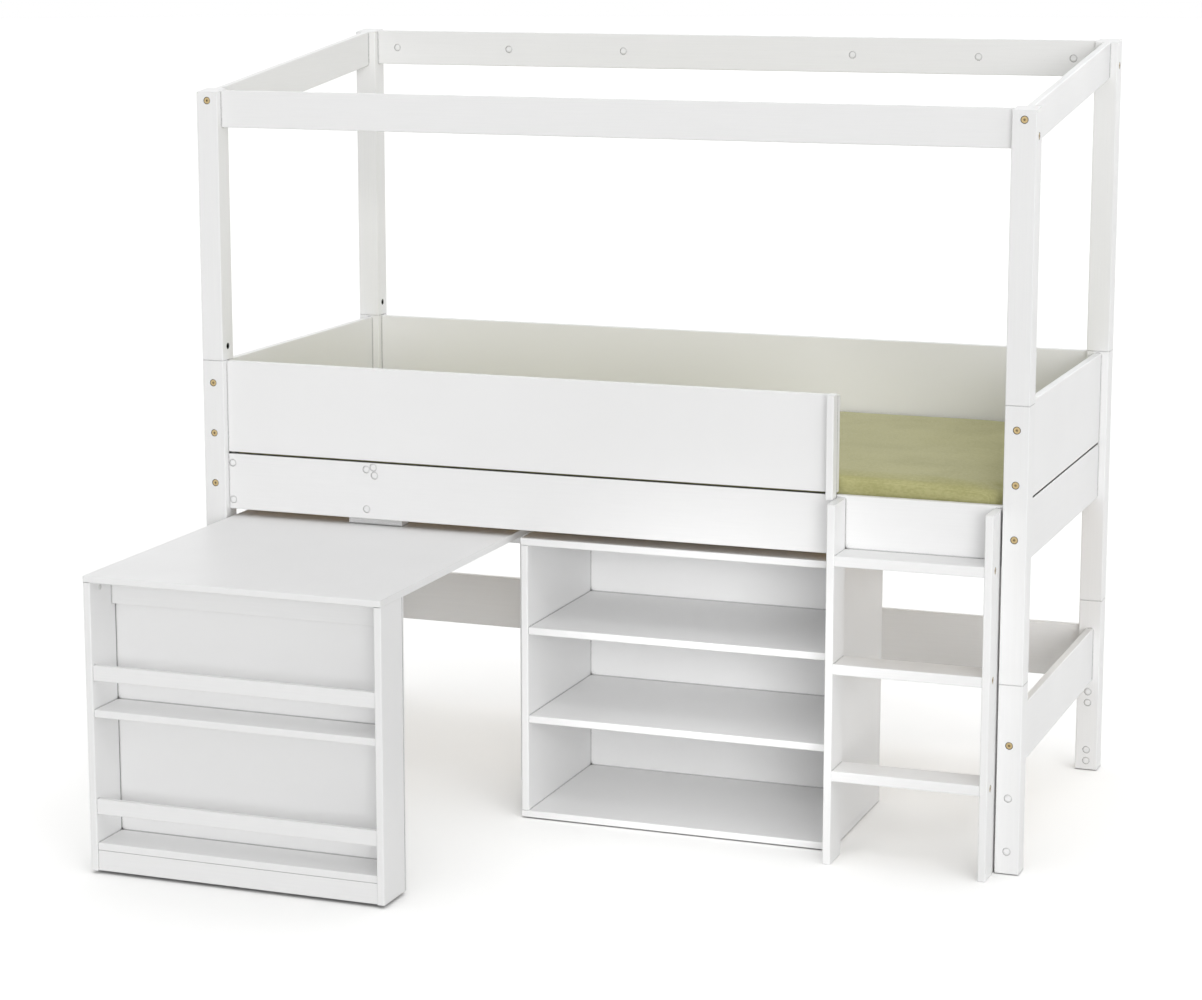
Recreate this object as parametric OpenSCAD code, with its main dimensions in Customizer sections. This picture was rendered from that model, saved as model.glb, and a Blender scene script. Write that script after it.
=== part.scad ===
// Cabin bed with a lean-to canopy frame, a ladder, a bookcase and a pull-out desk.
// Millimetres, +Z up. X runs along the bed and is 0 at its middle, +Y runs towards the wall.
// The origin is on the floor, at the middle of the whole part with the desk pulled out.

/* [Bed frame] */
// Length of the bed over its posts
bed_l = 2080; // [2060:1:2300]
// Width of the bed over its posts
bed_w = 980; // [940:1:1200]
// Side of the square posts
post = 57; // [48:1:66]
// Thickness of the boards of the bed
board_t = 18; // [15:1:22]
// Radius of the long edges of posts and boards
edge_r = 2.5; // [1:0.5:4]
// Height of the leg sections, with their glides
leg_h = 450; // [420:1:600]
// Height of the lower edge of the long rails above the joint between legs and posts
rail_rise = 271; // [200:1:320]
// Height of the rail boards
rail_h = 140; // [120:1:160]
// Height of the upper boards, the guard, the back panel and the end panels
panel_h = 228; // [150:1:260]
// Gap between a rail board and the upper board above it
board_gap = 5; // [2:0.5:10]
// How far the upper boards stop below the joint under the canopy posts
panel_drop = 2; // [0.5:0.5:20]
// How much lower the end boards sit than the long ones
end_drop = 3; // [0:0.5:6]
// Height of the lower edge of the low back rail above the floor
low_rail_z = 240; // [225:1:255]
// Depth of the shadow groove round the ends of the post sections
seam_d = 0.7; // [0.3:0.1:1.5]
// Height of that groove on each section
seam_h = 0.8; // [0.4:0.1:2]

/* [Canopy] */
// Height of the front canopy posts above their joint, at their front face
canopy_h = 661; // [400:1:900]
// Slope of the canopy's top, up towards the back
canopy_pitch = 7; // [0:0.5:14]
// Height of the canopy rails
canopy_rail_h = 90; // [80:1:130]

/* [Bed base] */
// Height of the top of the slats above the lower edge of the long rails
slat_rise = 59; // [56:1:66]
// Number of slats
slat_n = 14; // [10:1:18]
// Width of one slat
slat_w = 70; // [50:1:80]
// Thickness of the slats
slat_t = 18; // [12:1:20]
// Width of the ledgers that carry the slats
ledger_w = 22; // [16:1:30]
// Height of those ledgers
ledger_h = 22; // [16:1:23]
// Gap between the ends of the slats and the rails
slat_gap = 2; // [1:0.5:4]

/* [Mattress] */
// Thickness of the mattress at its edge
mattress_t = 125; // [80:1:140]
// Gap between the mattress and the boards round it
mattress_gap = 2.5; // [1:0.5:6]
// Height of the crown in the middle of the mattress
mattress_crown = 5; // [0:1:15]
// How far the middle of each side is drawn in
mattress_waist = 3; // [0:1:10]
// Radius of the upper edge of the mattress
mattress_top_r = 16; // [6:1:25]

/* [Ladder and guard] */
// Width of the ladder over its stiles
ladder_w = 388; // [300:1:480]
// Gap between the ladder and the front right post
ladder_gap = 3.5; // [1:0.5:10]
// Thickness of the stiles
stile_t = 19; // [16:1:24]
// Depth of the stiles
stile_d = 92; // [80:1:120]
// How far the stiles stop below the top of the front rail
ladder_drop = 6; // [0:1:20]
// Thickness of the treads
tread_t = 25; // [18:1:30]
// Height of the first tread's top above the floor
tread_z = 226; // [200:1:250]
// How far the upper tread's top lies below the ladder's top
tread_drop = 119; // [100:1:125]
// How far the treads' front edges lie behind those of the stiles
tread_recess = 2; // [0:0.5:8]
// Width of the batten that ends the guard
batten_w = 18; // [14:1:24]
// How far the batten stands out from the front boards
batten_d = 34; // [25:1:50]
// Gap between the batten and the ladder's left stile
batten_gap = 3; // [1:0.5:8]
// How far the batten reaches above the guard
batten_over = 4; // [0:1:10]

/* [Bookcase] */
// Width of the bookcase
bookcase_w = 786; // [600:1:820]
// Depth of the bookcase
bookcase_d = 440; // [250:1:480]
// How far its front lies behind the posts' front faces
bookcase_y = 26; // [10:1:60]
// Thickness of its boards
bookcase_t = 18; // [14:1:22]
// Gap between its top and the front rail
bookcase_drop = 20; // [8:1:40]
// Gap between its side and the ladder's left stile
bookcase_gap = 8; // [3:1:30]
// Height of the lower shelf's top above the floor
lower_shelf_z = 259; // [200:1:300]
// Height of the upper shelf's top above the floor
upper_shelf_z = 480; // [400:1:560]
// How far the shelves lie behind its front edges
shelf_recess = 3; // [0:0.5:10]
// Thickness of its back board
bookcase_back_t = 6; // [3:1:10]
// Radius of the shelf pins
pin_r = 2.5; // [2:0.5:4]
// Length of a shelf pin, half of it in the side board
pin_l = 18; // [12:1:24]

/* [Desk] */
// How far the pulled-out desk stands out in front of the posts
desk_reach = 725; // [640:1:760]
// How far its front lies behind the posts' front faces when it is pushed in
desk_home = 20; // [10:1:40]
// Gap between the pushed-in desk and the low back rail
desk_back_gap = 7.5; // [3:0.5:30]
// Gap between the desk and the front left post
desk_gap = 9.5; // [4:0.5:20]
// Gap between the desk and the bookcase
desk_side_gap = 28.5; // [8:0.5:60]
// Gap between the worktop and the front rail
desk_drop = 17; // [14:1:20]
// Thickness of the worktop
desk_top_t = 16; // [12:1:22]
// Thickness of the rack's side boards and shelves
desk_t = 18; // [14:1:22]
// Depth of the rack's side boards
rack_d = 115; // [90:1:160]
// Thickness of the rack's back board
rack_back_t = 6; // [4:1:12]
// Gap between the rack and the floor
desk_lift = 8; // [4:1:15]
// Height of the middle shelf's lower face above the floor
middle_shelf_z = 372; // [300:1:420]
// Height of the bars that keep books on the shelves
bar_h = 36.5; // [25:0.5:50]
// Thickness of those bars
bar_t = 15; // [10:1:20]
// Height of a bar's lower edge above its shelf
bar_rise = 68; // [50:1:90]
// How far shelves, bars and plinth lie behind the rack's front edges
rack_recess = 4; // [0:0.5:10]
// Height of the rail under the worktop's front
top_rail_h = 68; // [40:1:90]
// Width of a rear leg
rear_leg_w = 24; // [22:1:40]
// Depth of a rear leg
rear_leg_d = 40; // [36:1:60]
// Height of the rail between the rear legs
cross_rail_h = 34; // [20:1:60]
// Width of the block that stops the desk behind the front rail
stop_w = 142; // [80:1:220]
// Depth of the stop block
stop_d = 40; // [20:1:60]
// Height of the stop block above the worktop
stop_h = 30; // [22:1:32]
// How far the stop block sits right of the desk's middle
stop_shift = 10; // [-40:1:40]

/* [Castors] */
// Radius of a castor's wheel
wheel_r = 20; // [15:0.5:22]
// Width of a wheel
wheel_w = 14; // [10:1:15]
// Height of a castor from the floor to its plate's top
castor_h = 56; // [50:1:64]
// Radius of a castor's axle
axle_r = 3; // [2:0.5:4]
// Running clearance round an axle
axle_fit = 0.06; // [0.02:0.01:0.1]
// Gap between a wheel and each cheek of its fork
wheel_gap = 0.8; // [0.4:0.1:1.2]
// Thickness of the fork's metal
fork_t = 2; // [1.5:0.5:2.5]
// Length of the fork's plate
plate_l = 36; // [30:1:44]

/* [Fixings] */
// Radius of a bolt's head
head_r = 7.5; // [5:0.5:8]
// Height of a bolt's head
head_h = 5.5; // [3:0.5:6]
// Radius of the hole that a head sits in
sink_r = 9; // [8:0.5:10]
// Depth of that hole
sink_d = 6.5; // [6:0.5:10]
// Radius of a bolt's shank
shank_r = 3; // [2:0.5:4]
// Clearance round shanks, nuts, dowels and studs in their holes
fit = 0.1; // [0.05:0.05:0.3]
// Distance from a board's end to the barrel nut in it
nut_in = 34; // [25:1:45]
// Radius of a barrel nut
nut_r = 5; // [4.5:0.5:6]
// Length of a barrel nut
nut_l = 13; // [9:1:14]
// How far the two upper bolts of an end panel lie from its middle
panel_bolt_off = 63; // [40:1:65]
// How far the canopy bolts along Y lie above the middle of their rail, at the post
end_bolt_rise = 21; // [14:0.5:22]
// How far the canopy bolts along X lie below the middle of their rail
long_bolt_drop = 16; // [10:0.5:20]
// Radius of a cover cap
cap_r = 9; // [6.5:0.5:10]
// Thickness of a cover cap
cap_t = 1.5; // [1:0.5:2]
// How far a cap lies below its board's face
cap_sink = 0.3; // [0:0.1:0.5]
// Gap round a cap in its seat
cap_gap = 0.4; // [0.1:0.1:0.6]
// Radius of the dowels in the ends of the long boards
dowel_r = 4; // [3:0.5:5]
// Length of a dowel, half of it in the post
dowel_l = 32; // [24:1:36]
// Distance of a dowel from the upper or lower edge of its board
dowel_in = 40; // [30:1:45]
// Radius of the studs that join the post sections
stud_r = 5; // [4:0.5:7]
// Length of such a stud, half of it in each section
stud_l = 80; // [60:2:90]
// Radius of the holes through which the studs are locked
lock_r = 8; // [5:0.5:9]
// Height of those holes above their joint
lock_z = 34; // [20:1:36]
// Radius of the hexagon sockets
hex_r = 3; // [2:0.5:3.5]
// Radius of the glides under the legs
glide_r = 18; // [10:1:22]
// Thickness of all glides
glide_h = 2; // [1:0.5:5]

/* [Hidden] */
$fn = 48;

white = "#f2f2f0";
pine = "#b98d5e";
olive = "#a9aa80";
brass = "#c2a468";
steel = "#8d9094";
rubber = "#3c3d3f";

LEFT = -1;
RIGHT = 1;
FRONT = 0;
BACK = 1;
SIDES = [LEFT, RIGHT];
ROWS = [FRONT, BACK];
cut = 1; // how far a hole's cutter runs past the face that it opens in
fine_r = 1; // radius of the edges of narrow rails and tyres

// Frame: places along the bed (x), from the posts' front faces (y) and from the floor (z)
half_l = bed_l / 2;
span_x = bed_l - 2 * post;
span_y = bed_w - 2 * post;
recess = (post - board_t) / 2;
front_board_y = recess;
back_board_y = bed_w - recess - board_t;
end_board_x = half_l - post / 2;
rail_z = leg_h + rail_rise;
rail_top = rail_z + rail_h;
panel_z = rail_top + board_gap;
panel_top = panel_z + panel_h;
joint_z = panel_top + panel_drop;
mid_h = joint_z - leg_h;
canopy_z = joint_z + canopy_h;
slope = tan(canopy_pitch);
canopy_rail_v = canopy_rail_h / cos(canopy_pitch);
front_canopy_top = canopy_z + slope * (front_board_y + board_t / 2);
back_canopy_top = canopy_z + slope * (back_board_y + board_t / 2);

// Bed base and mattress
base_z = rail_z + slat_rise;
slat_z = base_z - slat_t;
ledger_z = slat_z - ledger_h;
inner_w = back_board_y - front_board_y - board_t;
inner_l = bed_l - 2 * (recess + board_t);
slat_pitch = (span_x - slat_w) / (slat_n - 1);
mattress_l = inner_l - 2 * mattress_gap;
mattress_w = inner_w - 2 * mattress_gap;
mattress_seat = 0.3; // lies this far above the slats
post_bite = post - recess - board_t - mattress_gap;
corner_gap = 4; // between the mattress's round corners and the posts
mattress_corner_r = (post_bite + corner_gap) * sqrt(2) / (sqrt(2) - 1);
corner_steps = 6;
side_steps = 8;

// Ladder and guard
ladder_right = half_l - post - ladder_gap;
ladder_left = ladder_right - ladder_w;
ladder_h = rail_top - ladder_drop;
stile_y = front_board_y - stile_d;
tread_n = 3;
tread_pitch = (ladder_h - tread_drop - tread_z) / (tread_n - 1);
stile_bolt_in = 40; // how far a stile's bolts run into it
stile_bolt_ups = [24, 117]; // heights of those bolts above the rail's lower edge
stile_bolt_zs = [for (up = stile_bolt_ups) rail_z + up];
tread_l = ladder_w - 2 * stile_t;
tread_d = stile_d - tread_recess;
tread_bolt_y = stile_y + tread_recess + tread_d / 3; // in the front third of the treads
batten_x = ladder_left - batten_gap - batten_w;
batten_y = front_board_y - batten_d;
guard_l = batten_x + batten_w + half_l - post;

// Bookcase
bookcase_right = ladder_left - bookcase_gap;
bookcase_left = bookcase_right - bookcase_w;
bookcase_top_z = rail_z - bookcase_drop;
bookcase_side_h = bookcase_top_z - glide_h - 2 * bookcase_t;
bookcase_inner_w = bookcase_w - 2 * bookcase_t;
shelf_side_gap = 0.5;
shelf_zs = [lower_shelf_z - bookcase_t, upper_shelf_z - bookcase_t];
shelf_d = bookcase_d - bookcase_back_t - shelf_recess;
pin_in = 50; // from a shelf's front or back edge to its pin

// Desk, pulled out
desk_left = -half_l + post + desk_gap;
desk_w = bookcase_left - desk_side_gap - desk_left;
desk_mid = desk_left + desk_w / 2;
desk_y = -desk_reach;
desk_top_z = rail_z - desk_drop - desk_top_t;
desk_d = back_board_y - desk_home - desk_back_gap;
rack_h = desk_top_z - desk_lift;
rack_inner_w = desk_w - 2 * desk_t;
bottom_shelf_z = castor_h;
rack_shelf_zs = [bottom_shelf_z, middle_shelf_z];
rear_y = desk_y + desk_d;
stop_gap = 0.5; // between the stop block and the front rail
stop_y = front_board_y + board_t + stop_gap;

// Castors: [side, row] places on the desk
fork_w = wheel_w + 2 * wheel_gap + 2 * fork_t;
castor_in = rear_leg_w / 2;
castor_off = 22; // from a rack side's inner face to its castor's middle
castor_front_x = desk_w / 2 - desk_t - castor_off;
castor_rear_x = desk_w / 2 - castor_in;
castor_front_y = desk_y + rack_d / 2 + rack_recess;
castor_rear_y = rear_y - rear_leg_d / 2;
function castor_at(side, row) = [
  desk_mid + side * (row == FRONT ? castor_front_x : castor_rear_x),
  row == FRONT ? castor_front_y : castor_rear_y
];

// Fixings
shank_hole_r = shank_r + fit;
nut_hole_r = nut_r + fit;
nut_over = 4; // how far a bolt runs past its nut
bolt_reach = nut_in + nut_r + nut_over; // how far a bolt runs into its board
panel_mid = panel_z + panel_h / 2 - end_drop;
rail_mid = rail_z + rail_h / 2 - end_drop;
low_mid = low_rail_z + rail_h / 2 - end_drop;
post_bolt_zs = [rail_mid, panel_mid - panel_bolt_off, panel_mid + panel_bolt_off];
function canopy_mid(row) = (row == FRONT ? front_canopy_top : back_canopy_top) - canopy_rail_v / 2;
function end_canopy_mid(y) = canopy_z + slope * y - canopy_rail_v / 2;
function end_bolt_z(row) =
  end_canopy_mid(row == FRONT ? post / 2 : bed_w - post / 2) + end_bolt_rise;
function long_bolt_z(row) = canopy_mid(row) - long_bolt_drop;
function dowel_zs(z, h) = [z + dowel_in, z + h - dowel_in];
post_dowel_zs = concat(dowel_zs(rail_z, rail_h), dowel_zs(panel_z, panel_h));
leg_dowel_zs = dowel_zs(low_rail_z, rail_h);

// The origin lies at the middle of the depth from the desk's front to the posts' back
front_y = (desk_reach - bed_w) / 2;

// ---- shapes ----

module in_bed() {
  translate([0, front_y, 0]) children();
}

// A square outline with rounded corners
module rounded(size, r) {
  translate([r, 0]) square([size[0] - 2 * r, size[1]]);
  translate([0, r]) square([size[0], size[1] - 2 * r]);
  for (x = [r, size[0] - r], y = [r, size[1] - r])
    translate([x, y]) circle(r, $fn = 32);
}

// Boards with rounded long edges, from their lowest corner, along X, Y or Z
module board_x(size, r = edge_r) {
  rotate([90, 0, 90]) linear_extrude(size[0]) rounded([size[1], size[2]], r);
}

module board_y(size, r = edge_r) {
  translate([0, size[1], 0]) rotate([90, 0, 0])
    linear_extrude(size[1]) rounded([size[0], size[2]], r);
}

module board_z(size, r = edge_r) {
  linear_extrude(size[2]) rounded([size[0], size[1]], r);
}

// Rods along X or Y, from their left or front end
module rod_x(r, l, sides = $fn) {
  rotate([0, 90, 0]) cylinder(h = l, r = r, $fn = sides);
}

module rod_y(r, l, sides = $fn) {
  rotate([-90, 0, 0]) cylinder(h = l, r = r, $fn = sides);
}

// Children drawn for the front left post, from its outer corner, moved to any post
module at_post(side, row) {
  translate([side * half_l, row == FRONT ? 0 : bed_w, 0])
    mirror([side == RIGHT ? 1 : 0, 0, 0])
      mirror([0, row == BACK ? 1 : 0, 0]) children();
}

// ---- fixings, drawn for the front left post ----

// A bolt along Y through a post into an end board, its head below the post's outer face
module bolt(reach = bolt_reach, through = post) {
  difference() {
    union() {
      translate([0, sink_d - head_h, 0]) rod_y(head_r, head_h);
      translate([0, sink_d, 0]) rod_y(shank_r, through - sink_d + reach);
    }
    translate([0, sink_d - head_h - cut, 0]) rod_y(hex_r, head_h / 2 + cut, 6);
  }
}

module bolt_hole(through = post) {
  translate([0, -cut, 0]) rod_y(shank_hole_r, through + 2 * cut);
  translate([0, -cut, 0]) rod_y(sink_r, sink_d + cut);
}

// The same bolt and hole turned to run along X
module turned() {
  mirror([1, -1, 0]) children();
}

// The holes in a board's end: the bolt's along +Y from the end face, and the nut's
// from the face at -X, with a seat for its cap
module nut_hole(depth = bolt_reach) {
  translate([0, -cut, 0]) rod_y(shank_hole_r, depth + cut + fit);
  translate([-board_t / 2 - cut, nut_in, 0])
    rod_x(nut_hole_r, board_t / 2 + nut_l / 2 + cut + fit);
  translate([-board_t / 2 - cut, nut_in, 0]) rod_x(cap_r + cap_gap, cap_sink + cap_t + cut);
}

module nut() {
  difference() {
    translate([-nut_l / 2, nut_in, 0]) rod_x(nut_r, nut_l);
    translate([0, nut_in - nut_r - cut, 0]) rod_y(shank_hole_r, 2 * (nut_r + cut));
  }
}

module nut_cap() {
  translate([-board_t / 2 + cap_sink, nut_in, 0]) rod_x(cap_r, cap_t);
}

// A cap in the face of a board or post, facing -Y, and its seat
module cap() {
  translate([0, cap_sink, 0]) rod_y(cap_r, cap_t);
}

module cap_hole() {
  translate([0, -cut, 0]) rod_y(cap_r + cap_gap, cap_sink + cap_t + cut);
}

// ---- post sections ----

module section(z, h, foot = true, head = true) {
  translate([seam_d, seam_d, z]) board_z([post - 2 * seam_d, post - 2 * seam_d, h]);
  translate([0, 0, z + (foot ? seam_h : 0)])
    board_z([post, post, h - (foot ? seam_h : 0) - (head ? seam_h : 0)]);
}

module stud_hole(z) {
  translate([post / 2, post / 2, z - stud_l / 2 - fit])
    cylinder(h = stud_l + 2 * fit, r = stud_r + fit);
}

module lock_hole(z) {
  translate([post / 2, post / 2, z + lock_z]) rod_x(lock_r, post / 2 + cut);
}

module dowel_holes(zs) {
  for (z = zs)
    translate([post - dowel_l / 2 - fit, post / 2, z])
      rod_x(dowel_r + fit, dowel_l / 2 + fit + cut);
}

// Covered holes for later fittings: heights on the front faces of the legs
front_leg_cap_zs = [55, 182];
back_leg_cap_zs = [25, 54, 180, 209];

module leg(side, row) {
  color(white) in_bed() difference() {
    at_post(side, row) difference() {
      section(glide_h, leg_h - glide_h, foot = false);
      stud_hole(leg_h);
      translate([post / 2, 0, low_mid]) bolt_hole();
      if (row == BACK) dowel_holes(leg_dowel_zs);
    }
    leg_cap_places(side, row) cap_hole();
  }
}

module leg_cap_places(side, row) {
  for (z = row == FRONT ? front_leg_cap_zs : back_leg_cap_zs)
    translate([side * end_board_x, row == FRONT ? 0 : bed_w - post, z]) children();
}

module mid_post(side, row) {
  // the guard is joined to the left post alone: it stops at the batten
  zs = side == RIGHT && row == FRONT ? dowel_zs(rail_z, rail_h) : post_dowel_zs;
  color(white) in_bed() at_post(side, row) difference() {
    section(leg_h, mid_h);
    stud_hole(leg_h);
    stud_hole(joint_z);
    lock_hole(leg_h);
    for (z = post_bolt_zs) translate([post / 2, 0, z]) bolt_hole();
    dowel_holes(zs);
  }
}

module canopy_post(side, row) {
  h = canopy_h + slope * bed_w + cut;
  color(white) in_bed() difference() {
    at_post(side, row) difference() {
      section(joint_z, h, head = false);
      stud_hole(joint_z);
      lock_hole(joint_z);
      translate([post / 2, 0, end_bolt_z(row)]) bolt_hole();
      translate([0, post / 2, long_bolt_z(row)]) turned() bolt_hole();
    }
    // the sloping top
    translate([-half_l - cut, 0, canopy_z]) rotate([canopy_pitch, 0, 0])
      translate([0, -bed_w, 0]) cube([bed_l + 2 * cut, 3 * bed_w, bed_w]);
  }
}

// ---- boards of the bed ----

// A long board between the posts, with dowel holes in its ends
module long_board(y, z, h, length = span_x, ends = SIDES) {
  translate([-span_x / 2, y, z]) difference() {
    board_x([length, board_t, h]);
    for (side = ends, dz = dowel_zs(0, h))
      translate([side == LEFT ? -cut : length - dowel_l / 2 - fit, board_t / 2, dz])
        rod_x(dowel_r + fit, dowel_l / 2 + fit + cut);
  }
}

// Children placed at each end of a board that is bolted between a front and a back post,
// drawn with +Y into the board: the nuts' holes open to the left at both ends of the bed
module end_bolt_places(side, row, zs) {
  translate([side * end_board_x, row == FRONT ? post : bed_w - post, 0])
    mirror([0, row == BACK ? 1 : 0, 0])
      for (z = zs) translate([0, 0, z]) children();
}

module end_board(side, z, h, zs) {
  color(white) in_bed() difference() {
    translate([side * end_board_x - board_t / 2, post, z]) board_y([board_t, span_y, h]);
    for (row = ROWS) end_bolt_places(side, row, zs) nut_hole();
  }
}

module end_panel(side) {
  end_board(side, panel_z - end_drop, panel_h,
            [panel_mid - panel_bolt_off, panel_mid + panel_bolt_off]);
}

module end_rail(side) {
  end_board(side, rail_z - end_drop, rail_h, [rail_mid]);
}

module low_end_rails() {
  for (side = SIDES) end_board(side, low_rail_z - end_drop, rail_h, [low_mid]);
}

// The same for a canopy rail along the bed: the nuts' holes open towards the back
module long_bolt_places(row) {
  y = row == FRONT ? front_board_y + board_t / 2 : back_board_y + board_t / 2;
  for (side = SIDES)
    translate([side * span_x / 2, y, long_bolt_z(row)])
      mirror([side == RIGHT ? 1 : 0, 0, 0]) turned() mirror([1, 0, 0]) children();
}

module long_canopy_rail(row) {
  top = row == FRONT ? front_canopy_top : back_canopy_top;
  y = row == FRONT ? front_board_y : back_board_y;
  color(white) in_bed() difference() {
    translate([-span_x / 2, y, top - canopy_rail_h])
      board_x([span_x, board_t, canopy_rail_h]);
    long_bolt_places(row) nut_hole();
    if (row == BACK) back_canopy_cap_places() cap_hole();
  }
}

// A sloping canopy rail: its ends are upright, against the posts
module end_canopy_rail(side) {
  rise = slope * span_y;
  color(white) in_bed() difference() {
    translate([side * end_board_x - board_t / 2, post, end_canopy_mid(post)])
      intersection() {
        rotate([canopy_pitch, 0, 0]) translate([0, -post, -canopy_rail_h / 2])
          board_y([board_t, bed_w, canopy_rail_h]);
        translate([-cut, 0, -canopy_rail_h])
          cube([board_t + 2 * cut, span_y, 2 * canopy_rail_h + rise]);
      }
    for (row = ROWS) end_bolt_places(side, row, [end_bolt_z(row)]) nut_hole();
  }
}

// Covered holes in the inner face of the back canopy rail, from its left and right ends
left_canopy_cap_xs = [58, 384, 710];
right_canopy_cap_xs = [630, 300, 58];

module back_canopy_cap_places() {
  for (x = concat(left_canopy_cap_xs, [for (x = right_canopy_cap_xs) span_x - x]))
    translate([x - span_x / 2, back_board_y, canopy_mid(BACK)]) children();
}

// Covered holes in the front rail, for a ladder at the other end and for other fittings:
// distances from the post and heights above the rail's lower edge
rail_cap_places_xz = [[11, 24], [11, 117], [376, 24], [376, 123], [395, 129], [398, 109]];

module front_rail_cap_places() {
  for (p = rail_cap_places_xz)
    translate([p[0] - span_x / 2, front_board_y, rail_z + p[1]]) children();
}

module guard_board() {
  color(white) in_bed() long_board(front_board_y, panel_z, panel_h, guard_l, [LEFT]);
}

module front_rail() {
  color(white) in_bed() difference() {
    long_board(front_board_y, rail_z, rail_h);
    front_rail_cap_places() cap_hole();
    for (side = SIDES) stile_bolt_places(side) bolt_hole(board_t);
  }
}

module guard_batten() {
  color(white) in_bed() translate([batten_x, batten_y, ladder_h])
    board_z([batten_w, batten_d, panel_top + batten_over - ladder_h]);
}

module back_panel() {
  color(white) in_bed() long_board(back_board_y, panel_z, panel_h);
}

module back_rail() {
  color(white) in_bed() long_board(back_board_y, rail_z, rail_h);
}

module low_rail_back() {
  color(white) in_bed() long_board(back_board_y, low_rail_z, rail_h);
}

// ---- bed base and mattress ----

module slat_ledgers() {
  color(pine) in_bed() for (y = [front_board_y + board_t, back_board_y - ledger_w])
    translate([-span_x / 2, y, ledger_z]) board_x([span_x, ledger_w, ledger_h]);
}

module slats() {
  l = inner_w - 2 * slat_gap;
  color(pine) in_bed() for (i = [0:slat_n - 1])
    translate([-span_x / 2 + i * slat_pitch, front_board_y + board_t + slat_gap, slat_z])
      board_y([slat_w, l, slat_t]);
}

// Outline of the mattress, drawn in by inset, with its sides pulled in by waist
function corner_centre(k) = [
  (k == 0 || k == 3 ? 1 : -1) * (mattress_l / 2 - mattress_corner_r),
  (k < 2 ? 1 : -1) * (mattress_w / 2 - mattress_corner_r)
];
function heading(a) = [cos(a), sin(a)];
function corner_line(k, r) = [
  for (i = [0:corner_steps]) corner_centre(k) + r * heading(90 * (k + i / corner_steps))
];
function side_line(k, r, waist) = [
  for (i = [1:side_steps - 1])
    let (t = i / side_steps, out = heading(90 * (k + 1)))
      (1 - t) * corner_centre(k) + t * corner_centre((k + 1) % 4)
        + (r - waist * sin(180 * t)) * out
];
function outline(inset, waist) = [
  for (k = [0:3]) each concat(
    corner_line(k, mattress_corner_r - inset),
    side_line(k, mattress_corner_r - inset, waist))
];
mattress_foot_r = 8;
// One level of the mattress: [height, inset, waist]
mattress_levels = concat(
  [for (a = [0, 30, 60, 90])
    [mattress_foot_r * (1 - cos(a)), mattress_foot_r * (1 - sin(a)), 0]],
  [[mattress_t / 2, 0, mattress_waist]],
  [for (a = [0, 22.5, 45, 67.5, 90])
    [mattress_t - mattress_top_r * (1 - sin(a)), mattress_top_r * (1 - cos(a)), 0]]);
crown_rings = [0.9, 0.7, 0.4]; // sizes of the rings across the top

module mattress() {
  rings = concat(
    [for (level = mattress_levels)
      [for (p = outline(level[1], level[2])) [p[0], p[1], level[0]]]],
    [for (s = crown_rings)
      [for (p = outline(mattress_top_r, 0))
        [s * p[0], s * p[1], mattress_t + mattress_crown * (1 - s * s)]]]);
  n = len(rings[0]);
  m = len(rings);
  points = concat([for (ring = rings) each ring],
                  [[0, 0, 0], [0, 0, mattress_t + mattress_crown]]);
  faces = concat(
    [for (j = [0:m - 2], i = [0:n - 1]) let (k = (i + 1) % n) each [
      [j * n + i, (j + 1) * n + k, j * n + k],
      [j * n + i, (j + 1) * n + i, (j + 1) * n + k]]],
    [for (i = [0:n - 1]) [i, (i + 1) % n, m * n]],
    [for (i = [0:n - 1]) [(m - 1) * n + (i + 1) % n, (m - 1) * n + i, m * n + 1]]);
  color(olive) in_bed()
    translate([0, front_board_y + board_t + inner_w / 2, base_z + mattress_seat])
      polyhedron(points, faces, convexity = 4);
}

// ---- ladder ----

module tread_bolt_places(side) {
  for (i = [0:tread_n - 1])
    translate([side == LEFT ? ladder_left : ladder_right,
               tread_bolt_y,
               tread_z + i * tread_pitch - tread_t / 2])
      mirror([side == RIGHT ? 1 : 0, 0, 0]) turned() children();
}

// The bolts that hold a stile, from the inside of the front rail, drawn with +Y into it
module stile_bolt_places(side) {
  x = side == LEFT ? ladder_left + stile_t / 2 : ladder_right - stile_t / 2;
  for (z = stile_bolt_zs)
    translate([x, front_board_y + board_t, z]) mirror([0, 1, 0]) children();
}

module stile(side) {
  x = side == LEFT ? ladder_left : ladder_right - stile_t;
  color(white) in_bed() difference() {
    translate([x, stile_y, 0]) board_z([stile_t, stile_d, ladder_h]);
    tread_bolt_places(side) bolt_hole(stile_t);
    stile_bolt_places(side) rod_y(shank_hole_r, board_t + stile_bolt_in + fit);
  }
}

module ladder_treads() {
  color(white) in_bed() difference() {
    for (i = [0:tread_n - 1])
      translate([ladder_left + stile_t, stile_y + tread_recess,
                 tread_z + i * tread_pitch - tread_t])
        board_x([tread_l, tread_d, tread_t]);
    for (side = SIDES) tread_bolt_places(side)
      translate([0, stile_t - cut, 0]) rod_y(shank_hole_r, bolt_reach + cut + fit);
  }
}

// ---- bookcase ----

module bookcase_panel(z) {
  color(white) in_bed() translate([bookcase_left, bookcase_y, z])
    board_x([bookcase_w, bookcase_d, bookcase_t]);
}

module pin_places() {
  for (side = SIDES, z = shelf_zs, y = [pin_in, shelf_d - pin_in])
    translate([side == LEFT ? bookcase_left + bookcase_t : bookcase_right - bookcase_t,
               bookcase_y + shelf_recess + y, z - pin_r])
      mirror([side == RIGHT ? 1 : 0, 0, 0]) children();
}

module bookcase_side(side) {
  x = side == LEFT ? bookcase_left : bookcase_right - bookcase_t;
  color(white) in_bed() difference() {
    translate([x, bookcase_y, glide_h + bookcase_t])
      board_z([bookcase_t, bookcase_d, bookcase_side_h]);
    pin_places() translate([-pin_l / 2 - fit, 0, 0])
      rod_x(pin_r + fit, pin_l / 2 + fit + cut);
  }
}

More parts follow.
